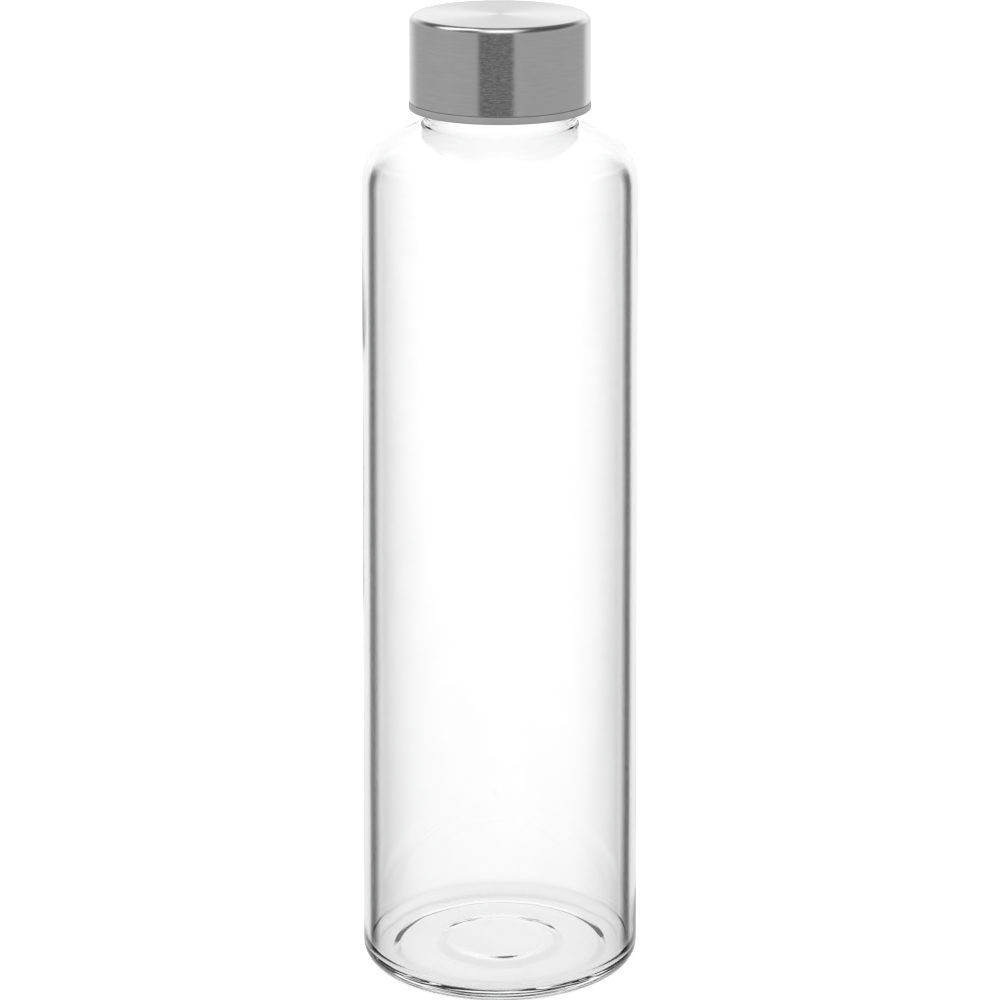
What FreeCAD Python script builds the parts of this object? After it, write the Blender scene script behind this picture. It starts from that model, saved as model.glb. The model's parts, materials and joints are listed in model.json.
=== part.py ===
import FreeCAD, Part
import os
import Sketcher

# Glass water bottle with a metal-shelled screw cap, in millimetres.
# Origin: centre of the base contact plane.  +Z up, bottle axis on Z.
# Every piece is a profile of (radius, level) corners revolved about Z.

os.makedirs("parts", exist_ok=True)
doc = FreeCAD.newDocument("GlassWaterBottle")

# ------------------------------------------------------------------ sizes
# (alias, number) drives the design; (alias, "=formula") is worked out from it.
SIZES = [
    # glass body, outside
    ("body_radius", 32.5), ("glass_wall", 1.75), ("base_corner", 3.4),
    ("shoulder_apex_level", 193.8), ("shoulder_bend", 11.2), ("cone_slope", 0.466),
    ("neck_radius", 17.55), ("neck_root_bend", 1.8), ("rim_level", 222.4),
    ("lip_round", 0.75),
    ("neck_root_level",
     "=shoulder_apex_level + cone_slope * (body_radius - neck_radius)"),
    # glass body, underside
    ("heel_inner_radius", 25.3), ("pushup_radius", 23.6), ("pushup_level", 0.45),
    ("mound_foot_radius", 15.0), ("mound_foot_level", 0.6),
    ("mound_radius", 12.2), ("mound_level", 1.2), ("mound_centre_level", 1.3),
    ("heel_bend", 0.8), ("mound_foot_bend", 1.6), ("mound_edge_bend", 1.2),
    # glass body, inside
    ("inner_corner", 4.0), ("floor_edge_level", 2.9), ("floor_edge_radius", 26.0),
    ("floor_corner_drop", 0.6), ("floor_ring_drop", 0.3),
    ("floor_foot_radius", 15.6), ("floor_foot_level", 2.9),
    ("floor_mound_radius", 11.6), ("floor_mound_level", 3.4), ("floor_centre_level", 3.5),
    ("floor_mound_bend", 1.6),
    ("floor_corner_level", "=floor_edge_level - floor_corner_drop"),
    ("floor_ring_level", "=floor_edge_level - floor_ring_drop"),
    ("neck_extra_wall", 0.05),
    ("inner_radius", "=body_radius - glass_wall"),
    ("neck_bore_radius", "=neck_radius - glass_wall - neck_extra_wall"),
    # the inner cone lies one wall thickness from the outer cone, square to it:
    # the ratio is sqrt(1 + cone_slope^2), rounded
    ("cone_drop_ratio", 1.1032), ("cone_drop", "=cone_drop_ratio * glass_wall"),
    ("inner_apex_level",
     "=shoulder_apex_level + cone_slope * (body_radius - inner_radius) - cone_drop"),
    ("inner_root_level",
     "=shoulder_apex_level + cone_slope * (body_radius - neck_bore_radius) - cone_drop"),
    ("inner_shoulder_bend", "=shoulder_bend - glass_wall"),
    ("inner_root_bend", "=neck_root_bend + glass_wall"),
    # threads, 6 turns per inch; each ridge is sunk into its wall by thread_embed
    ("thread_pitch", 4.2333), ("thread_embed", 0.3),
    ("glass_thread_turns", 2.0), ("glass_thread_base", 2.6),
    ("glass_thread_crest", 1.0), ("glass_crest_radius", 18.7), ("glass_thread_start", 211.4),
    ("glass_embed_radius", "=neck_radius - thread_embed"),
    # cap insert
    ("insert_radius", 20.85), ("insert_top", 225.35), ("flange_radius", 21.54),
    ("flange_low", 203.7), ("flange_high", 205.45), ("flange_bend", 0.3),
    ("bore_radius", 19.05), ("ceiling_level", 224.05), ("lead_in", 0.6),
    ("insert_thread_turns", 1.75), ("insert_thread_base", 2.2),
    ("insert_thread_crest", 0.67), ("insert_crest_radius", 17.95),
    ("insert_thread_start", 209.98),
    ("insert_embed_radius", "=bore_radius + thread_embed"),
    # cap shell
    ("shell_radius", 21.3), ("shell_gauge", 0.4), ("shell_low", 205.55),
    ("cap_top", 226.0), ("shell_bend", 1.65),
    ("shell_inner_radius", "=shell_radius - shell_gauge"),
    ("shell_ceiling", "=cap_top - shell_gauge"),
    ("shell_inner_bend", "=shell_bend - shell_gauge"),
    ("insert_bend_reduction", 0.25),
    ("insert_top_bend", "=shell_bend - insert_bend_reduction"),
    # seal and adhesive
    ("seal_inner", 14.5), ("seal_outer", 18.6), ("seal_low", 222.44), ("seal_high", 224.0),
    ("seal_edge", 0.25),
    ("glue_inner", 7.0), ("glue_outer", 17.0),
]
# levels of the flank corners of each thread's trapezoid section
for thread in ("glass_thread", "insert_thread"):
    for width in ("base", "crest"):
        for side, sign in (("low", "-"), ("high", "+")):
            SIZES.append((f"{thread}_{width}_{side}",
                          f"={thread}_start {sign} {thread}_{width} / 2"))

sheet = doc.addObject("Spreadsheet::Sheet", "Sizes")
sheet.Label = "Sizes"
for row, (alias, content) in enumerate(SIZES, start=1):
    sheet.set(f"A{row}", alias)
    sheet.set(f"B{row}", str(content))
    sheet.setAlias(f"B{row}", alias)
doc.recompute()


# ---------------------------------------------------------------- helpers
def size(alias):
    """Value of a sheet alias; 0 stands for the axis or the base plane."""
    return float(getattr(sheet, alias)) if alias else 0.0


def bind(obj, prop, alias):
    obj.setExpression(prop, "Sizes." + alias)


def new_body(label):
    body = doc.addObject("PartDesign::Body", label)
    body.Label = label
    return body


def profile(body, name, corners):
    """Closed polygon on the XZ plane, its (radius, level) corners bound to aliases."""
    sketch = body.newObject("Sketcher::SketchObject", name)
    xz_plane = next(feature for feature in body.Origin.OriginFeatures
                    if feature.Role == "XZ_Plane")
    sketch.AttachmentSupport = [(xz_plane, "")]
    sketch.MapMode = "FlatFace"
    corners = list(corners)
    points = [FreeCAD.Vector(size(radius), size(level), 0) for radius, level in corners]
    count = len(points)
    for i in range(count):
        sketch.addGeometry(Part.LineSegment(points[i], points[(i + 1) % count]), False)
    for i in range(count):
        sketch.addConstraint(
            Sketcher.Constraint("Coincident", i, 2, (i + 1) % count, 1))
    for i, (radius, level) in enumerate(corners):
        # a zero coordinate puts the corner on the sketch's V (-2) or H (-1) axis
        for alias, kind, prefix, axis in ((radius, "DistanceX", "r", -2),
                                          (level, "DistanceY", "z", -1)):
            if not alias:
                sketch.addConstraint(Sketcher.Constraint("PointOnObject", i, 1, axis))
                continue
            index = sketch.addConstraint(
                Sketcher.Constraint(kind, -1, 1, i, 1, size(alias)))
            sketch.renameConstraint(index, f"{prefix}{i}_")
            bind(sketch, f"Constraints.{prefix}{i}_", alias)
    doc.recompute()
    return sketch


def finish_feature(body, feature):
    body.Tip = feature
    doc.recompute()


def revolve(body, name, sketch):
    feature = body.newObject("PartDesign::Revolution", name)
    feature.Profile = sketch
    feature.ReferenceAxis = (sketch, ["V_Axis"])
    feature.Angle = 360.0
    sketch.Visibility = False
    finish_feature(body, feature)


def ring_edge(shape, radius, level):
    """Name of the circular edge about Z at this radius and level."""
    tolerance = 0.02
    for i, edge in enumerate(shape.Edges, start=1):
        box = edge.BoundBox
        gaps = (box.XMax - radius, box.XMin + radius, box.ZMin - level, box.ZMax - level)
        if all(abs(gap) < tolerance for gap in gaps):
            return f"Edge{i}"
    raise RuntimeError(f"no ring edge at r={radius:.3f} z={level:.3f}")


def dress(body, kind, prop, name, corners, alias):
    """Fillet or chamfer the ring edges of the tip that start at these corners."""
    base = body.Tip
    feature = body.newObject("PartDesign::" + kind, name)
    edges = [ring_edge(base.Shape, size(radius), size(level)) for radius, level in corners]
    feature.Base = (base, edges)
    setattr(feature, prop, size(alias))
    bind(feature, prop, alias)
    finish_feature(body, feature)


def fillet(body, name, corners, alias):
    dress(body, "Fillet", "Radius", name, corners, alias)


def chamfer(body, name, corners, alias):
    dress(body, "Chamfer", "Size", name, corners, alias)


def thread_ridge(body, name, piece, wall_radius):
    """Right-hand thread of trapezoid section, rooted inside the wall."""
    embed = piece + "_embed_radius"
    crest = piece + "_crest_radius"
    thread = piece + "_thread"
    sketch = profile(body, name + "Profile", [
        (embed, thread + "_base_low"),
        (wall_radius, thread + "_base_low"),
        (crest, thread + "_crest_low"),
        (crest, thread + "_crest_high"),
        (wall_radius, thread + "_base_high"),
        (embed, thread + "_base_high"),
    ])
    helix = body.newObject("PartDesign::AdditiveHelix", name)
    helix.Profile = sketch
    helix.ReferenceAxis = (sketch, ["V_Axis"])
    helix.Mode = 1                     # pitch and number of turns
    helix.Pitch = size("thread_pitch")
    helix.Turns = size(thread + "_turns")
    helix.Angle = 0.0
    helix.LeftHanded = False
    helix.Reversed = False
    bind(helix, "Pitch", "thread_pitch")
    bind(helix, "Turns", thread + "_turns")
    sketch.Visibility = False
    finish_feature(body, helix)


# ----------------------------------------------------------------- pieces
def build_glass():
    """One revolved wall: cylinder, rolled shoulder, shallow cone, tall neck,
    and a pushed-up base with a raised centre."""
    body = new_body("glass_body")
    wall = {
        "mound centre": (0, "mound_centre_level"),
        "mound edge": ("mound_radius", "mound_level"),
        "mound foot": ("mound_foot_radius", "mound_foot_level"),
        "pushup": ("pushup_radius", "pushup_level"),
        "heel": ("heel_inner_radius", 0),
        "base corner": ("body_radius", 0),
        "shoulder": ("body_radius", "shoulder_apex_level"),
        "neck root": ("neck_radius", "neck_root_level"),
        "rim outside": ("neck_radius", "rim_level"),
        "rim inside": ("neck_bore_radius", "rim_level"),
        "inner root": ("neck_bore_radius", "inner_root_level"),
        "inner shoulder": ("inner_radius", "inner_apex_level"),
        "floor corner": ("inner_radius", "floor_corner_level"),
        "floor ring": ("floor_edge_radius", "floor_ring_level"),
        "floor foot": ("floor_foot_radius", "floor_foot_level"),
        "floor mound": ("floor_mound_radius", "floor_mound_level"),
        "floor centre": (0, "floor_centre_level"),
    }
    revolve(body, "Wall", profile(body, "WallProfile", wall.values()))
    # feature name, corners, bend radius
    bends = [
        ("ShoulderBend", ["shoulder"], "shoulder_bend"),
        ("ShoulderBendInside", ["inner shoulder"], "inner_shoulder_bend"),
        ("BaseCorner", ["base corner"], "base_corner"),
        ("FloorCorner", ["floor corner"], "inner_corner"),
        ("NeckRoot", ["neck root"], "neck_root_bend"),
        ("NeckRootInside", ["inner root"], "inner_root_bend"),
        ("Lip", ["rim outside", "rim inside"], "lip_round"),
        ("HeelInside", ["heel", "pushup"], "heel_bend"),
        ("MoundFoot", ["mound foot"], "mound_foot_bend"),
        ("MoundEdge", ["mound edge"], "mound_edge_bend"),
        ("FloorMound", ["floor foot", "floor mound"], "floor_mound_bend"),
    ]
    for name, corners, alias in bends:
        fillet(body, name, [wall[corner] for corner in corners], alias)
    thread_ridge(body, "NeckThread", "glass", "neck_radius")
    return body


def build_insert():
    """Threaded cup inside the shell, with a flange at its open lower end."""
    body = new_body("cap_insert")
    mouth = ("bore_radius", "flange_low")
    flange_edge = ("flange_radius", "flange_low")
    top_edge = ("insert_radius", "insert_top")
    sketch = profile(body, "InsertProfile", [
        (0, "ceiling_level"),
        ("bore_radius", "ceiling_level"),
        mouth,
        flange_edge,
        ("flange_radius", "flange_high"),
        ("insert_radius", "flange_high"),
        top_edge,
        (0, "insert_top"),
    ])
    revolve(body, "InsertCup", sketch)
    fillet(body, "InsertTopEdge", [top_edge], "insert_top_bend")
    fillet(body, "FlangeEdge", [flange_edge], "flange_bend")
    chamfer(body, "LeadIn", [mouth], "lead_in")
    thread_ridge(body, "InsertThread", "insert", "bore_radius")
    return body


def build_shell():
    """Thin metal cup over the insert, open downwards."""
    body = new_body("cap_shell")
    inner_bend = ("shell_inner_radius", "shell_ceiling")
    outer_bend = ("shell_radius", "cap_top")
    sketch = profile(body, "ShellProfile", [
        (0, "shell_ceiling"),
        inner_bend,
        ("shell_inner_radius", "shell_low"),
        ("shell_radius", "shell_low"),
        outer_bend,
        (0, "cap_top"),
    ])
    revolve(body, "ShellCup", sketch)
    fillet(body, "ShellBend", [outer_bend], "shell_bend")
    fillet(body, "ShellBendInside", [inner_bend], "shell_inner_bend")
    return body


def rectangle(inner, outer, low, high):
    return [(inner, low), (outer, low), (outer, high), (inner, high)]


def build_glue():
    """Flat ring filling the gap between insert top and shell ceiling."""
    body = new_body("shell_adhesive")
    section = rectangle("glue_inner", "glue_outer", "insert_top", "shell_ceiling")
    revolve(body, "GlueRing", profile(body, "GlueProfile", section))
    return body


def build_seal():
    """Washer between the glass rim and the insert ceiling."""
    body = new_body("seal_ring")
    section = rectangle("seal_inner", "seal_outer", "seal_low", "seal_high")
    revolve(body, "SealWasher", profile(body, "SealProfile", section))
    fillet(body, "SealEdges", section, "seal_edge")
    return body


bodies = [build_glass(), build_insert(), build_shell(), build_glue(), build_seal()]

# ------------------------------------------------------- check and export
doc.recompute()
for obj in doc.Objects:
    for bad in ("Invalid", "Error"):
        if bad in obj.State:
            raise RuntimeError(f"{obj.Name} is {bad}")
    if obj.TypeId.startswith("Sketcher") and obj.solve() != 0:
        raise RuntimeError(f"{obj.Name} does not solve")
for body in bodies:
    shape = body.Shape
    if shape.isNull() or not shape.isValid() or len(shape.Solids) != 1:
        raise RuntimeError("bad shape in " + body.Label)
    shape.exportStep(f"parts/{body.Label}.step")
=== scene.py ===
import bpy, bmesh, json, math
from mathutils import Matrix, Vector, noise

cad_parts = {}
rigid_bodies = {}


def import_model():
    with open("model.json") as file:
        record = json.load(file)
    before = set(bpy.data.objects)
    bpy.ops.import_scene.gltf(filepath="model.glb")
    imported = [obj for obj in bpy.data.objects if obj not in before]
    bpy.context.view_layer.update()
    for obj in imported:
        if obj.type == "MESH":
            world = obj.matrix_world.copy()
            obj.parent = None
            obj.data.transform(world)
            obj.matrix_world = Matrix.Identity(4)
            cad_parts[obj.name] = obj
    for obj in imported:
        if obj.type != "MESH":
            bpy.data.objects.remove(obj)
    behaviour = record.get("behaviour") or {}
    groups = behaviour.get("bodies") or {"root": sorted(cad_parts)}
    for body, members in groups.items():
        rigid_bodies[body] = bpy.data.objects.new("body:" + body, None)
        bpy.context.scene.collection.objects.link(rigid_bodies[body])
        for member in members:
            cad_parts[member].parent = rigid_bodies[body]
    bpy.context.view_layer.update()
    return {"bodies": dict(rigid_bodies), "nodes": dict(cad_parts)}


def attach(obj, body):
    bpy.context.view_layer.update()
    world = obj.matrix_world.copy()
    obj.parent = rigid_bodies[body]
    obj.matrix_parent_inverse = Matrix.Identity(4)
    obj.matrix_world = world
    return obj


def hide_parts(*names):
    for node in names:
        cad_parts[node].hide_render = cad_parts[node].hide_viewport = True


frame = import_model()
MM = 0.001
TAU = 2 * math.pi
SEG = 208

# ---------------------------------------------------------------- geometry


def rounded(points, step=1.0):
    """Polyline (mm) with filleted corners: points are (r, z, fillet radius, segments)."""
    out = []
    n = len(points)
    for i, p in enumerate(points):
        rad = p[2] if len(p) > 2 else 0.0
        segs = p[3] if len(p) > 3 else 6
        if i in (0, n - 1) or rad <= 0:
            out.append((p[0], p[1]))
            continue
        c = Vector((p[0], p[1]))
        a = Vector(points[i - 1][:2]) - c
        b = Vector(points[i + 1][:2]) - c
        a.normalize()
        b.normalize()
        ang = math.acos(max(-1, min(1, a.dot(b))))
        d = rad / math.tan(ang / 2)
        pa, pb = c + a * d, c + b * d
        bis = a + b
        bis.normalize()
        o = c + bis * (rad / math.sin(ang / 2))
        t0 = math.atan2(pa.y - o.y, pa.x - o.x)
        t1 = math.atan2(pb.y - o.y, pb.x - o.x)
        dt = (t1 - t0 + math.pi) % TAU - math.pi
        for k in range(segs + 1):
            t = t0 + dt * k / segs
            out.append((o.x + rad * math.cos(t), o.y + rad * math.sin(t)))
    dense = [out[0]]
    for a, b in zip(out, out[1:]):
        painted_gap_reflection = math.hypot(b[0] - a[0], b[1] - a[1])
        if painted_gap_reflection < 1e-6:
            continue
        want = step(a, b) if callable(step) else step
        m = max(1, int(math.ceil(painted_gap_reflection / want - 1e-6)))
        for k in range(1, m + 1):
            dense.append((a[0] + (b[0] - a[0]) * k / m, a[1] + (b[1] - a[1]) * k / m))
    return dense


def lathe(name, prof, shift=None, loop=False, seg=SEG):
    """Revolved closed mesh from a polyline in mm; shift(i, r, z, angle) gives (dr, dz) in mm."""
    bm = bmesh.new()
    rings = []
    for i, (r, z) in enumerate(prof):
        if r < 1e-6:
            dr, dz = shift(i, r, z, 0.0) if shift else (0, 0)
            rings.append([bm.verts.new((0, 0, (z + dz) * MM))])
            continue
        ring = []
        for k in range(seg):
            a = TAU * k / seg
            dr, dz = shift(i, r, z, a) if shift else (0, 0)
            ring.append(bm.verts.new(((r + dr) * math.cos(a) * MM, (r + dr) * math.sin(a) * MM,
                                      (z + dz) * MM)))
        rings.append(ring)
    pairs = list(zip(rings, rings[1:]))
    if loop:
        pairs.append((rings[-1], rings[0]))
    for p, q in pairs:
        for k in range(seg):
            j = (k + 1) % seg
            if len(p) == 1 and len(q) == 1:
                continue
            if len(p) == 1:
                bm.faces.new((p[0], q[j], q[k]))
            elif len(q) == 1:
                bm.faces.new((p[k], p[j], q[0]))
            else:
                bm.faces.new((p[k], p[j], q[j], q[k]))
    bmesh.ops.recalc_face_normals(bm, faces=bm.faces)
    mesh = bpy.data.meshes.new(name)
    bm.to_mesh(mesh)
    bm.free()
    for poly in mesh.polygons:
        poly.use_smooth = True
    obj = bpy.data.objects.new(name, mesh)
    bpy.context.scene.collection.objects.link(obj)
    return obj


def smooth(x):
    x = max(0.0, min(1.0, x))
    return x * x * (3 - 2 * x)


def ridge(z, a, start, turns, pitch, width, height, fade=0.12):
    """Height of a rounded helical ridge at level z (mm) and angle a."""
    best = 0.0
    first = int(math.floor((z - width - start) / pitch - a / TAU)) - 1
    for n in range(first, first + 5):
        along = a / TAU + n
        if along < -fade or along > turns + fade:
            continue
        centre = start + pitch * along
        d = abs(z - centre) / (width / 2)
        if d >= 1:
            continue
        body = 1 - smooth((d - 0.30) / 0.70)
        end = min(smooth((along + fade) / (2 * fade)), smooth((turns + fade - along) / (2 * fade)))
        best = max(best, height * body * end)
    return best


PITCH = 4.2333
# glass -----------------------------------------------------------------
R, WALL = 32.5, 1.75
APEX, SLOPE, NECK, BORE = 193.8, 0.466, 17.55, 15.65
RIM = 222.4
drop = 1.1032 * WALL
ri = R - WALL
MOUND = 3.4


def glass_step(a, b):
    mid = (a[1] + b[1]) / 2
    if abs(a[0] - NECK) < 0.01 and abs(b[0] - NECK) < 0.01 and mid > 206:
        return 0.34
    if abs(a[0] - b[0]) < 0.02:
        return 3.0
    return 1.0


outer = [
    (0, 1.3), (12.2, 1.2, 6.0, 8), (15.0, 0.6, 6.0, 8), (23.6, 0.45, 2.0, 5), (25.3, 0.0, 1.0, 5), (R, 0.0, 3.4, 20), (R, APEX, 11.2, 32),
    (NECK, APEX + SLOPE * (R - NECK), 2.3, 12), (NECK, RIM, 0.85, 8), (BORE, RIM, 0.85, 8),
]
inner = [
    (BORE, APEX + SLOPE * (R - BORE) - drop, 2.6, 12), (ri, APEX + SLOPE * (R - ri) - drop, 9.45, 26),
    (ri, 2.3, 2.8, 20), (26.0, 2.6, 8.0, 6), (15.6, 2.9, 6.0, 8), (11.6, MOUND, 5.0, 8), (0, MOUND + 0.1),
]
prof = rounded(outer + inner, glass_step)


def soften(pts, lo, hi, sigma):
    """The inside is free-blown: its bends run out gently instead of ending at a tangent line."""
    a = min(i for i in range(lo, hi))
    run, out = pts[a:hi], []
    fine = [run[0]]
    for p, q in zip(run, run[1:]):
        n = max(1, int(math.hypot(q[0] - p[0], q[1] - p[1]) / 0.8))
        fine += [(p[0] + (q[0] - p[0]) * i / n, p[1] + (q[1] - p[1]) * i / n) for i in range(1, n + 1)]
    at = [0.0]
    for p, q in zip(fine, fine[1:]):
        at.append(at[-1] + math.hypot(q[0] - p[0], q[1] - p[1]))
    for i, p in enumerate(fine):
        room = min(at[i], at[-1] - at[i])
        sg = min(sigma(p[1]) if callable(sigma) else sigma, room / 2.2)
        if sg < 0.05:
            out.append(p)
            continue
        w = x = z = 0.0
        for j, q in enumerate(fine):
            d = (at[j] - at[i]) / sg
            if abs(d) < 3:
                g = math.exp(-0.5 * d * d)
                w, x, z = w + g, x + g * q[0], z + g * q[1]
        out.append((x / w, z / w))
    return pts[:a] + out + pts[hi:]


top_i = max(range(len(prof)), key=lambda i: prof[i][1])
ins = [i for i in range(top_i, len(prof)) if prof[i][0] > 18.0 and prof[i][1] > 165]
prof = soften(prof, ins[0], ins[-1] + 1, lambda z: 1.7 - 1.0 * smooth((z - 189.0) / 5.0))
ins = [i for i in range(top_i, len(prof)) if prof[i][1] < 22 and prof[i][0] > 12]
prof = soften(prof, ins[0], ins[-1] + 1, 0.6)
turn = max(range(len(prof)), key=lambda i: prof[i][1])


def glass_shift(i, r, z, a):
    n = Vector((math.cos(a), math.sin(a), z * 0.012))
    if i <= turn:
        dr = 0.0
        if abs(r - NECK) < 0.02 and 206 < z < RIM - 1.0:
            dr = ridge(z, a, 211.4, 2.0, PITCH, 2.7, 1.12)
        elif r > 31 and 6 < z < 188:
            dr = 0.02 * noise.noise(n * 2.3)
        elif z > 194 and r > NECK + 0.4:
            # faint rings left where the shoulder was rolled
            dz = 0.0
            for r0, wide, tall in ((18.9, 0.9, 0.012), (21.2, 0.8, 0.008), (24.4, 0.9, 0.014)):
                dz += tall * math.exp(-((r - r0) / wide) ** 2) * (0.7 + 0.5 * noise.noise(n * 2.7 + Vector((0, 0, r0))))
            return 0.0, dz
        return dr, 0.0
    dr = dz = 0.0
    if r > 29.5 and z > 5:
        # blown wall: a little thicker on one side, with slow waves
        k = smooth((z - 5) / 12) * smooth((200 - z) / 12)
        q = smooth((191 - z) / 150)
        dr = k * (0.19 * (q * math.cos(a) + 0.9 * (1 - q)) + 0.05 * noise.noise(n * 1.9) + 0.03 * noise.noise(n * 5.1))
    elif z < 9 and r > 0.5:
        dz = 0.10 * noise.noise(Vector((r * math.cos(a), r * math.sin(a), 3)) * 0.11)
    return dr, dz


glass = lathe("glass_wall", prof, glass_shift)

# cap shell ---------------------------------------------------------------
SR, GAUGE, TOP, LOW = 21.3, 0.4, 226.0, 205.55
shell_prof = rounded([
    (0, TOP - GAUGE), (SR - GAUGE, TOP - GAUGE, 1.25, 8), (SR - GAUGE, LOW, 0.12, 3),
    (SR, LOW, 0.16, 4), (SR, TOP, 1.65, 12), (0, TOP)], 2.0)


def shell_shift(i, r, z, a):
    if z > TOP - 0.3 and r < 19.5:      # the drawn top is very slightly dished
        return 0.0, -0.06 * (1 - (r / 19.5) ** 2)
    return 0.0, 0.0


shell = lathe("cap_cover", shell_prof, shell_shift)

# cap insert --------------------------------------------------------------
IR, ITOP, CEIL, FR, FLO, FHI, IB = 20.85, 225.35, 224.05, 21.42, 203.7, 205.45, 19.05
insert_prof = rounded([
    (0, CEIL), (IB, CEIL, 0.4, 4), (IB, FLO, 0.7, 5), (FR, FLO, 0.35, 5), (FR, FHI, 0.25, 4),
    (IR, FHI), (IR, ITOP, 1.4, 8), (0, ITOP)],
    lambda a, b: 0.26 if abs(a[0] - IB) < 0.01 and abs(b[0] - IB) < 0.01 and min(a[1], b[1]) < 224 else 2.0)


def insert_shift(i, r, z, a):
    if abs(r - IB) < 0.02 and FLO + 0.8 < z < CEIL - 0.6:
        return -ridge(z, a, 209.98, 1.75, PITCH, 2.3, 1.08), 0.0
    return 0.0, 0.0


insert = lathe("cap_liner", insert_prof, insert_shift)

# seal and adhesive ---------------------------------------------------------
seal = lathe("seal_washer", rounded([
    (14.5, 223.2), (14.5, 222.44, 0.3, 4), (18.6, 222.44, 0.3, 4), (18.6, 224.0, 0.3, 4),
    (14.5, 224.0, 0.3, 4), (14.5, 223.2)], 1.0)[:-1], None, True)


def glue_shift(i, r, z, a):
    edge = 0.35 if abs(r - 12) > 4.5 else 0.0
    return edge * noise.noise(Vector((math.cos(a) * 3, math.sin(a) * 3, r))), 0.0


glue = lathe("glue_bead", rounded([
    (7.4, 225.5), (7.4, 225.36, 0.05, 3), (16.6, 225.36, 0.05, 3), (16.6, 225.59, 0.05, 3),
    (7.4, 225.59, 0.05, 3), (7.4, 225.5)], 1.5)[:-1], glue_shift, True)

# ---------------------------------------------------------------- materials


def new_mat(name):
    m = bpy.data.materials.new(name)
    m.use_nodes = True
    nt = m.node_tree
    nt.nodes.clear()
    out = nt.nodes.new("ShaderNodeOutputMaterial")
    return m, nt, out


def node(nt, kind, **kw):
    n = nt.nodes.new(kind)
    for k, v in kw.items():
        if k == "inputs":
            for key, val in v.items():
                n.inputs[key].default_value = val
        else:
            setattr(n, k, v)
    return n


def math_node(nt, op, a, b=None, clamp=False):
    n = nt.nodes.new("ShaderNodeMath")
    n.operation = op
    n.use_clamp = clamp
    for i, v in enumerate((a, b)):
        if v is None:
            continue
        if isinstance(v, (int, float)):
            n.inputs[i].default_value = v
        else:
            nt.links.new(v, n.inputs[i])
    return n.outputs[0]


def ramp(nt, fac, stops, interp="LINEAR"):
    n = nt.nodes.new("ShaderNodeValToRGB")
    n.color_ramp.interpolation = interp
    els = n.color_ramp.elements
    while len(els) > 1:
        els.remove(els[-1])
    els[0].position = stops[0][0]
    els[0].color = grey(stops[0][1])
    for p, v in stops[1:]:
        e = els.new(p)
        e.color = grey(v)
    nt.links.new(fac, n.inputs[0])
    return n.outputs[0]


def grey(v):
    if isinstance(v, (int, float)):
        return (v, v, v, 1)
    return (v[0], v[1], v[2], 1)


def mix(nt, fac, a, b, kind="RGBA", blend="MIX"):
    n = nt.nodes.new("ShaderNodeMix")
    n.data_type = kind
    if kind == "RGBA":
        n.blend_type = blend
        ia, ib, out = n.inputs[6], n.inputs[7], n.outputs[2]
    else:
        ia, ib, out = n.inputs[2], n.inputs[3], n.outputs[0]
    if isinstance(fac, (int, float)):
        n.inputs[0].default_value = fac
    else:
        nt.links.new(fac, n.inputs[0])
    for v, s in ((a, ia), (b, ib)):
        if isinstance(v, (int, float)):
            s.default_value = grey(v) if kind == "RGBA" else v
        elif isinstance(v, tuple):
            s.default_value = grey(v)
        else:
            nt.links.new(v, s)
    return out


def polar(nt):
    """(angle, radius, z) sockets in metres/radians from object coordinates."""
    co = nt.nodes.new("ShaderNodeTexCoord")
    sep = nt.nodes.new("ShaderNodeSeparateXYZ")
    nt.links.new(co.outputs["Object"], sep.inputs[0])
    ang = math_node(nt, "ARCTAN2", sep.outputs[1], sep.outputs[0])
    rr = math_node(nt, "ADD", math_node(nt, "MULTIPLY", sep.outputs[0], sep.outputs[0]),
                   math_node(nt, "MULTIPLY", sep.outputs[1], sep.outputs[1]))
    rad = math_node(nt, "SQRT", rr)
    return ang, rad, sep.outputs[2], co


def combine(nt, x, y, z):
    n = nt.nodes.new("ShaderNodeCombineXYZ")
    for s, v in zip(n.inputs, (x, y, z)):
        if isinstance(v, (int, float)):
            s.default_value = v
        else:
            nt.links.new(v, s)
    return n.outputs[0]


def noise_tex(nt, vec, scale, detail=2.0, rough=0.5):
    n = node(nt, "ShaderNodeTexNoise", inputs={"Scale": scale, "Detail": detail, "Roughness": rough})
    nt.links.new(vec, n.inputs["Vector"])
    return n.outputs[0]


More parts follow.
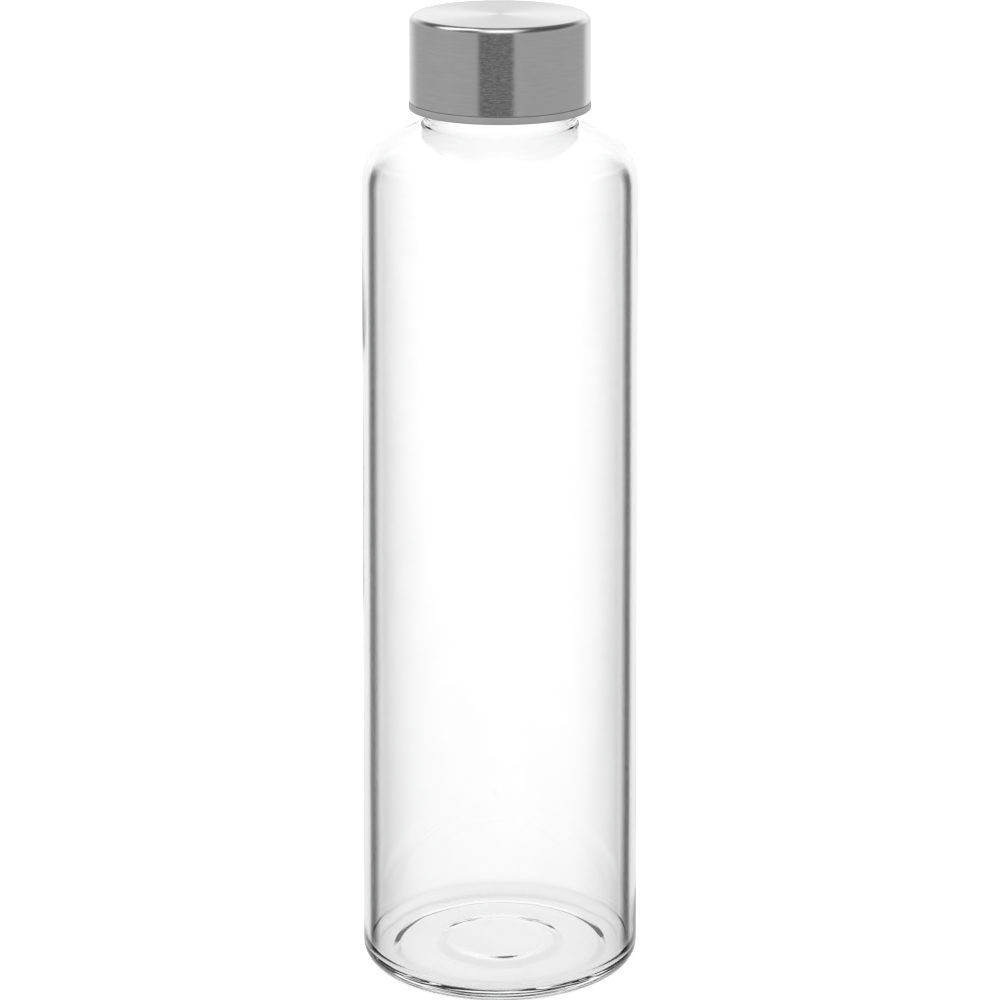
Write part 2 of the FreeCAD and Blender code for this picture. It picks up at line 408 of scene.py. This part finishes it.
# brushed steel: fine lines run round the axis, on the side and on the top
def brushed_steel():
    m, nt, out = new_mat("brushed_steel")
    ang, rad, z, co = polar(nt)
    across = math_node(nt, "SUBTRACT", rad, z)
    # periodic round-the-axis coordinate
    cx = math_node(nt, "COSINE", ang)
    sx = math_node(nt, "SINE", ang)
    v1 = combine(nt, math_node(nt, "MULTIPLY", cx, 0.9), math_node(nt, "MULTIPLY", sx, 0.9),
                 math_node(nt, "MULTIPLY", across, 5200))
    v2 = combine(nt, math_node(nt, "MULTIPLY", cx, 5), math_node(nt, "MULTIPLY", sx, 5),
                 math_node(nt, "MULTIPLY", across, 2600))
    n1 = noise_tex(nt, v1, 1.0, 3.0, 0.6)
    n2 = noise_tex(nt, v2, 1.0, 2.0, 0.6)
    lines = math_node(nt, "ADD", math_node(nt, "MULTIPLY", n1, 0.45), math_node(nt, "MULTIPLY", n2, 0.55))
    soft = noise_tex(nt, co.outputs["Object"], 60.0, 2.0)
    bs = node(nt, "ShaderNodeBsdfPrincipled", inputs={"Metallic": 1.0,
                                                      "Anisotropic Rotation": 0.25})
    tan = node(nt, "ShaderNodeTangent", direction_type="RADIAL", axis="Z")
    nt.links.new(tan.outputs[0], bs.inputs["Tangent"])
    calm = ramp(nt, lines, [(0.30, (0.62, 0.62, 0.622)), (0.52, (0.66, 0.66, 0.66)), (0.72, (0.70, 0.70, 0.70))])
    # painted reflection: where the side mirrors the dark opening in front, single scratches are painted light and dark
    # into the base colour, in a band that follows the viewer
    v3 = combine(nt, math_node(nt, "MULTIPLY", cx, 11), math_node(nt, "MULTIPLY", sx, 11),
                 math_node(nt, "MULTIPLY", across, 3000))
    v4 = combine(nt, math_node(nt, "MULTIPLY", cx, 26), math_node(nt, "MULTIPLY", sx, 26),
                 math_node(nt, "MULTIPLY", across, 5200))
    hard = math_node(nt, "ADD", math_node(nt, "MULTIPLY", noise_tex(nt, v3, 1.0, 2.0, 0.6), 0.55),
                     math_node(nt, "MULTIPLY", noise_tex(nt, v4, 1.0, 2.0, 0.6), 0.45))
    painted_reflection_scratches = ramp(nt, hard, [(0.30, (0.34, 0.34, 0.342)), (0.50, (0.66, 0.66, 0.66)), (0.70, (1.0, 1.0, 0.998))])
    geo = nt.nodes.new("ShaderNodeNewGeometry")
    inc = nt.nodes.new("ShaderNodeSeparateXYZ")
    nt.links.new(geo.outputs["Incoming"], inc.inputs[0])
    flat = math_node(nt, "SQRT", math_node(nt, "ADD", math_node(nt, "MULTIPLY", inc.outputs[0], inc.outputs[0]),
                                           math_node(nt, "MULTIPLY", inc.outputs[1], inc.outputs[1])))
    # where the point lies round the axis in the world, so that the painted reflection band stays with the viewer when
    # the cap turns
    spot = nt.nodes.new("ShaderNodeSeparateXYZ")
    nt.links.new(geo.outputs["Position"], spot.inputs[0])
    reach = math_node(nt, "SQRT", math_node(nt, "ADD", math_node(nt, "MULTIPLY", spot.outputs[0], spot.outputs[0]),
                                            math_node(nt, "MULTIPLY", spot.outputs[1], spot.outputs[1])))
    side = math_node(nt, "SUBTRACT", math_node(nt, "MULTIPLY", inc.outputs[0], spot.outputs[1]),
                     math_node(nt, "MULTIPLY", inc.outputs[1], spot.outputs[0]))
    side = math_node(nt, "DIVIDE", side, math_node(nt, "MULTIPLY", flat, reach))
    painted_gap_reflection = ramp(nt, math_node(nt, "ADD", math_node(nt, "MULTIPLY", side, 0.5), 0.5), [
        (0.38, 0.0), (0.40, 1.0), (0.56, 1.0), (0.58, 0.0)])
    wall = math_node(nt, "MULTIPLY", math_node(nt, "LESS_THAN", z, 0.2248), math_node(nt, "GREATER_THAN", rad, 0.0211))
    painted_gap_reflection = math_node(nt, "MULTIPLY", painted_gap_reflection, wall)
    lid = node(nt, "ShaderNodeMapRange", inputs={1: 0.2243, 2: 0.2258, 3: 1.0, 4: 0.78})
    nt.links.new(z, lid.inputs[0])
    nt.links.new(lid.outputs[0], bs.inputs["Anisotropic"])
    # painted reflection: the bold scratch colour shows only inside the band that follows the viewer
    nt.links.new(mix(nt, painted_gap_reflection, calm, painted_reflection_scratches), bs.inputs["Base Color"])
    rough = math_node(nt, "ADD", math_node(nt, "MULTIPLY", lines, 0.05), math_node(nt, "MULTIPLY", soft, 0.03))
    rough = math_node(nt, "ADD", rough, 0.17)
    nt.links.new(rough, bs.inputs["Roughness"])
    bump = node(nt, "ShaderNodeBump", inputs={"Strength": 0.09, "Distance": 0.00002})
    nt.links.new(lines, bump.inputs["Height"])
    nt.links.new(bump.outputs[0], bs.inputs["Normal"])
    nt.links.new(bs.outputs[0], out.inputs[0])
    return m


# painted shade: how dark the glass is painted where its wall is seen edge-on
PAINTED_EDGE_DARK = 0.3


def painted_edge_shade(nt, co):
    """Painted shade: for camera rays the glass is mixed toward black where its wall is seen edge-on: one soft band near
    each outline, the same on both sides.
    """
    geo = nt.nodes.new("ShaderNodeNewGeometry")
    cyl = nt.nodes.new("ShaderNodeSeparateXYZ")
    nt.links.new(co.outputs["Object"], cyl.inputs[0])
    inc = nt.nodes.new("ShaderNodeSeparateXYZ")
    nt.links.new(geo.outputs["Incoming"], inc.inputs[0])
    cross = math_node(nt, "SUBTRACT", math_node(nt, "MULTIPLY", inc.outputs[0], cyl.outputs[1]),
                      math_node(nt, "MULTIPLY", inc.outputs[1], cyl.outputs[0]))

    def hyp(a, b):
        return math_node(nt, "SQRT", math_node(nt, "ADD", math_node(nt, "MULTIPLY", a, a),
                                               math_node(nt, "MULTIPLY", b, b)))
    rad = hyp(cyl.outputs[0], cyl.outputs[1])
    side = math_node(nt, "DIVIDE", cross, math_node(nt, "MULTIPLY", hyp(inc.outputs[0], inc.outputs[1]), rad))
    z = cyl.outputs[2]
    wob = noise_tex(nt, combine(nt, 0.0, math_node(nt, "SIGN", side), math_node(nt, "MULTIPLY", z, 24)), 1.0, 2.0, 0.45)
    wob = math_node(nt, "MULTIPLY", math_node(nt, "SUBTRACT", wob, 0.5), 0.01)
    pos = math_node(nt, "ADD", math_node(nt, "ABSOLUTE", side), wob)
    painted_band = ramp(nt, pos, [(0.0, 1.0), (0.88, 1.0), (0.92, PAINTED_EDGE_DARK), (0.94, PAINTED_EDGE_DARK), (0.96, 0.9), (1.0, 1.0)])
    top = node(nt, "ShaderNodeMapRange", inputs={1: 0.193, 2: 0.190})
    nt.links.new(z, top.inputs[0])
    bot = node(nt, "ShaderNodeMapRange", inputs={1: 0.004, 2: 0.008})
    nt.links.new(z, bot.inputs[0])
    lp = nt.nodes.new("ShaderNodeLightPath")
    where = math_node(nt, "MULTIPLY", math_node(nt, "MULTIPLY", top.outputs[0], bot.outputs[0]), lp.outputs["Is Camera Ray"])
    return mix(nt, where, 1.0, painted_band)


def clear_glass():
    m, nt, out = new_mat("clear_glass")
    co = nt.nodes.new("ShaderNodeTexCoord")
    wave = noise_tex(nt, co.outputs["Object"], 26.0, 2.0, 0.45)
    fine = noise_tex(nt, co.outputs["Object"], 160.0, 1.0, 0.4)
    bump1 = node(nt, "ShaderNodeBump", inputs={"Strength": 0.12, "Distance": 0.0004})
    nt.links.new(wave, bump1.inputs["Height"])
    bump2 = node(nt, "ShaderNodeBump", inputs={"Strength": 0.02, "Distance": 0.0002})
    nt.links.new(fine, bump2.inputs["Height"])
    nt.links.new(bump1.outputs[0], bump2.inputs["Normal"])
    # faint wipe marks: only these are not perfectly clear
    smudge = noise_tex(nt, co.outputs["Object"], 14.0, 4.0, 0.6)
    rough = ramp(nt, smudge, [(0.66, 0.0), (0.80, 0.05)])
    bs = node(nt, "ShaderNodeBsdfPrincipled", inputs={"Transmission Weight": 1.0, "IOR": 1.5,
                                                      "Roughness": 0.0, "Base Color": (1, 1, 1, 1)})
    nt.links.new(rough, bs.inputs["Roughness"])
    tint = ramp(nt, wave, [(0.2, (0.992, 0.995, 0.994)), (0.8, (1.0, 1.0, 1.0))])
    painted_shade_fac = painted_edge_shade(nt, co)
    nt.links.new(tint, bs.inputs["Base Color"])
    nt.links.new(bump2.outputs[0], bs.inputs["Normal"])
    # painted shade: the edge bands blend the glass toward a black emission
    shade = node(nt, "ShaderNodeEmission", inputs={"Strength": 0.0})
    cover = nt.nodes.new("ShaderNodeMixShader")
    nt.links.new(painted_shade_fac, cover.inputs[0])
    nt.links.new(shade.outputs[0], cover.inputs[1])
    nt.links.new(bs.outputs[0], cover.inputs[2])
    nt.links.new(cover.outputs[0], out.inputs[0])
    return m


def satin_plastic(name, dark, light, rough0, scale):
    m, nt, out = new_mat(name)
    co = nt.nodes.new("ShaderNodeTexCoord")
    fine = noise_tex(nt, co.outputs["Object"], scale, 3.0, 0.6)
    slow = noise_tex(nt, co.outputs["Object"], scale * 0.06, 2.0, 0.5)
    bs = node(nt, "ShaderNodeBsdfPrincipled", inputs={"IOR": 1.49})
    nt.links.new(ramp(nt, slow, [(0.3, dark), (0.7, light)]), bs.inputs["Base Color"])
    nt.links.new(math_node(nt, "ADD", math_node(nt, "MULTIPLY", fine, 0.16), rough0), bs.inputs["Roughness"])
    bump = node(nt, "ShaderNodeBump", inputs={"Strength": 0.25, "Distance": 0.00004})
    nt.links.new(fine, bump.inputs["Height"])
    nt.links.new(bump.outputs[0], bs.inputs["Normal"])
    nt.links.new(bs.outputs[0], out.inputs[0])
    return m, bs, nt


def paint(obj, mat):
    obj.data.materials.clear()
    obj.data.materials.append(mat)


steel = brushed_steel()
glass_mat = clear_glass()
liner_mat, _b, _n = satin_plastic("grey_polypropylene", (0.36, 0.36, 0.362), (0.42, 0.42, 0.42), 0.34, 1500)
seal_mat, sb, _n = satin_plastic("silicone", (0.72, 0.73, 0.72), (0.82, 0.82, 0.80), 0.42, 900)
sb.inputs["Subsurface Weight"].default_value = 0.35
sb.inputs["Subsurface Radius"].default_value = (0.002, 0.002, 0.002)
glue_mat, gb, _n = satin_plastic("set_glue", (0.62, 0.55, 0.38), (0.74, 0.68, 0.50), 0.22, 420)

paint(glass, glass_mat)
paint(shell, steel)
paint(insert, liner_mat)
paint(seal, seal_mat)
paint(glue, glue_mat)

for obj, body, nodes, slot in (
        (glass, "bottle", ("glass_body",), "clear_glass"),
        (shell, "cap", ("cap_shell",), "brushed_metal"),
        (insert, "cap", ("cap_insert",), "insert_plastic"),
        (glue, "cap", ("shell_adhesive",), "adhesive"),
        (seal, "seal", ("seal_ring",), "seal_silicone")):
    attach(obj, body)
    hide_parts(*nodes)

# the CAD nodes behind the finished pieces carry the same materials
for name, mat in (("glass_body", glass_mat), ("cap_shell", steel), ("cap_insert", liner_mat),
                  ("shell_adhesive", glue_mat), ("seal_ring", seal_mat)):
    paint(frame["nodes"][name], mat)

# ------------------------------------------------------------------ camera
cam_data = bpy.data.cameras.new("camera")
cam = bpy.data.objects.new("camera", cam_data)
bpy.context.scene.collection.objects.link(cam)
bpy.context.scene.camera = cam
CAM_Y, CAM_Z, TILT = -0.90382, 0.37751, 0.09
cam.location = (0, CAM_Y, CAM_Z)
cam.rotation_euler = (math.pi / 2 - TILT, 0, 0)
cam_data.sensor_width = 36.0
cam_data.lens = 3905.5 * 36 / 1000
cam_data.clip_start, cam_data.clip_end = 0.01, 40
SHIFT = (-284.06 - 500) / 1000


def drive(owner, path, expression):
    drv = owner.driver_add(path).driver
    drv.type = "SCRIPTED"
    for nm, ob, chan in (("cy", cam, "LOC_Y"), ("cz", cam, "LOC_Z"), ("lift", bodies["cap"], "LOC_Z")):
        var = drv.variables.new()
        var.name = nm
        var.type = "TRANSFORMS"
        var.targets[0].id = ob
        var.targets[0].transform_type = chan
        var.targets[0].transform_space = "WORLD_SPACE"
    drv.expression = expression


bodies = frame["bodies"]
home = "(abs(cy + %.5f) < 0.0001 and abs(cz - %.5f) < 0.0001)" % (-CAM_Y, CAM_Z)
# a raised cap needs a little more room above: the frame widens upwards with it
drive(cam_data, "sensor_width", "36 + (195 * lift if %s else 0)" % home)
drive(cam_data, "shift_y", "((%.5f * 36 + 97.5 * lift) / (36 + 195 * lift)) if %s else 0" % (SHIFT, home))

# ------------------------------------------------------------------- studio
rig = bpy.data.objects.new("turntable", None)
bpy.context.scene.collection.objects.link(rig)
track = rig.constraints.new("LOCKED_TRACK")
track.target = cam
track.track_axis = "TRACK_NEGATIVE_Y"
track.lock_axis = "LOCK_Z"


def ramp_at(deg):
    return (deg + 180) / 360


# brightness by compass direction seen from the camera (0 = away from it)
GLASS_AZ = [(-180, 0.9), (-115, 0.9), (-90, 0.6), (-60, 0.1), (-45, 0.1), (-38, 0.9), (-10, 0.9), (0, 1.05),
            (10, 0.9), (38, 0.9), (45, 0.1), (60, 0.1), (90, 0.6), (115, 0.9), (180, 0.9)]
METAL_AZ = [(-180, 0.2), (-155, 0.2), (-150, 0.5), (-50, 0.5), (-30, 0.8), (-15, 1.0), (35, 1.0), (50, 0.5),
            (160, 0.5), (165, 0.2), (180, 0.2)]


def studio(nt):
    """Radiance by direction, for surfaces parented to the turntable: (glass, metal) colour sockets."""
    geo = nt.nodes.new("ShaderNodeNewGeometry")
    vt = node(nt, "ShaderNodeVectorTransform", vector_type="VECTOR", convert_from="WORLD", convert_to="OBJECT")
    nt.links.new(geo.outputs["Incoming"], vt.inputs[0])
    sep = nt.nodes.new("ShaderNodeSeparateXYZ")
    nt.links.new(vt.outputs[0], sep.inputs[0])
    dx = math_node(nt, "MULTIPLY", sep.outputs[0], -1)
    dy = math_node(nt, "MULTIPLY", sep.outputs[1], -1)
    dz = math_node(nt, "MULTIPLY", sep.outputs[2], -1)
    az = math_node(nt, "ARCTAN2", dx, dy)
    fac = math_node(nt, "ADD", math_node(nt, "DIVIDE", az, TAU), 0.5)
    g = ramp(nt, fac, [(ramp_at(d), v) for d, v in GLASS_AZ])
    mt = ramp(nt, fac, [(ramp_at(d), v) for d, v in METAL_AZ])
    el = math_node(nt, "DIVIDE", math_node(nt, "ARCSINE", dz), math.pi)      # -0.5 .. 0.5
    el = math_node(nt, "ADD", el, 0.5)

    def at(deg):
        return deg / 180 + 0.5
    up_g = ramp(nt, el, [(at(-60), 0.95), (at(-25), 0.95), (at(-12), 1.05), (at(0), 1.1), (at(30), 1.0), (at(60), 0.9),
                         (at(90), 0.9)])
    up_m = ramp(nt, el, [(at(-60), 0.9), (at(-15), 1.0), (at(0), 0.9), (at(15), 1.2), (at(25), 0.9), (at(35), 0.2),
                         (at(60), 0.2), (at(90), 0.5)])
    # the dark sides of the room are low: well above and steeply below, all is pale
    steep = ramp(nt, el, [(at(-35), 1.0), (at(-22), 0.0), (at(12), 0.0), (at(32), 1.0)])
    g = mix(nt, steep, g, 0.98)
    g = mix(nt, 1.0, g, up_g, blend="MULTIPLY")
    mt = mix(nt, 1.0, mt, up_m, blend="MULTIPLY")

    def edge(v, lo, hi):
        n = node(nt, "ShaderNodeMapRange", interpolation_type="SMOOTHSTEP", inputs={1: lo, 2: hi})
        nt.links.new(v, n.inputs[0])
        return n.outputs[0]
    # a softbox above and in front of the object, seen only by the metal
    box = math_node(nt, "MULTIPLY", edge(math_node(nt, "ABSOLUTE", dx), 0.46, 0.14),
                    math_node(nt, "MULTIPLY", edge(dy, 0.10, -0.05), edge(dz, 0.60, 0.72)))
    mt = mix(nt, box, mt, 1.6)
    return g, mt


def stage_mat(name, direct, lit):
    """direct: what the camera sees straight on; lit: share that is ordinary diffuse."""
    m, nt, out = new_mat(name)
    g, mt = studio(nt)
    lp = nt.nodes.new("ShaderNodeLightPath")
    notsharp = math_node(nt, "SUBTRACT", 1.0, lp.outputs["Is Singular Ray"])
    _a, rad, _z, _c = polar(nt)
    # painted light: floor points within about 28 to 34 mm of the axis glow 10% brighter for sharp rays, a pool of light
    # seen through the glass base
    painted_pool_under = node(nt, "ShaderNodeMapRange", interpolation_type="SMOOTHSTEP", inputs={1: 0.034, 2: 0.028})
    nt.links.new(rad, painted_pool_under.inputs[0])
    g = mix(nt, painted_pool_under.outputs[0], g, mix(nt, 1.0, g, 1.1, blend="MULTIPLY"))
    c = mix(nt, notsharp, g, mt)
    c = mix(nt, lp.outputs["Is Diffuse Ray"], c, 0.92)
    c = mix(nt, lp.outputs["Is Camera Ray"], c, direct)
    em = nt.nodes.new("ShaderNodeEmission")
    nt.links.new(c, em.inputs[0])
    em.inputs[1].default_value = 1.0 - lit
    if lit > 0:
        grain = noise_tex(nt, nt.nodes.new("ShaderNodeTexCoord").outputs["Object"], 35.0, 3.0)
        pale = ramp(nt, grain, [(0.3, 0.94), (0.7, 1.0)])
        df = nt.nodes.new("ShaderNodeBsdfDiffuse")
        nt.links.new(mix(nt, 1.0, mix(nt, 1.0, c, lit * 1.05, blend="MULTIPLY"), pale, blend="MULTIPLY"), df.inputs[0])
        add = nt.nodes.new("ShaderNodeAddShader")
        nt.links.new(em.outputs[0], add.inputs[0])
        nt.links.new(df.outputs[0], add.inputs[1])
        nt.links.new(add.outputs[0], out.inputs[0])
    else:
        nt.links.new(em.outputs[0], out.inputs[0])
    return m


bm = bmesh.new()
bmesh.ops.create_circle(bm, cap_ends=True, segments=96, radius=6.0)
mesh = bpy.data.meshes.new("floor")
bm.to_mesh(mesh)
bm.free()
floor = bpy.data.objects.new("floor", mesh)
bm = bmesh.new()
bmesh.ops.create_uvsphere(bm, u_segments=96, v_segments=48, radius=7.0)
mesh = bpy.data.meshes.new("surround")
bm.to_mesh(mesh)
bm.free()
dome = bpy.data.objects.new("surround", mesh)
for ob, mat in ((floor, stage_mat("pale_floor", 1.26, 0.32)), (dome, stage_mat("pale_surround", 1.02, 0.0))):
    bpy.context.scene.collection.objects.link(ob)
    ob.data.materials.append(mat)
    ob.parent = rig
floor.location = (0, 0, -0.0002)

world = bpy.data.worlds.new("world")
bpy.context.scene.world = world
world.use_nodes = True
world.node_tree.nodes["Background"].inputs[0].default_value = (1, 1, 1, 1)
world.node_tree.nodes["Background"].inputs[1].default_value = 0.0

key = bpy.data.lights.new("softbox", "AREA")
key.shape = "RECTANGLE"
key.size, key.size_y = 0.9, 0.6
key.energy = 3.0
key_ob = bpy.data.objects.new("softbox", key)
bpy.context.scene.collection.objects.link(key_ob)
key_ob.parent = rig
key_ob.location = (-0.7, 0.1, 1.3)
key_ob.rotation_euler = (0.0, -0.45, 0.0)
key_ob.visible_camera = False
key_ob.visible_transmission = False

sc = bpy.context.scene
sc.view_settings.view_transform = "Standard"
sc.view_settings.look = "None"
sc.view_settings.exposure = 0.0
sc.view_settings.gamma = 1.0
sc.cycles.max_bounces = 24
sc.cycles.transmission_bounces = 20
sc.cycles.glossy_bounces = 8
sc.cycles.diffuse_bounces = 3
sc.cycles.transparent_max_bounces = 16
sc.cycles.use_denoising = True
sc.cycles.sample_clamp_indirect = 4.0
sc.cycles.seed = 3
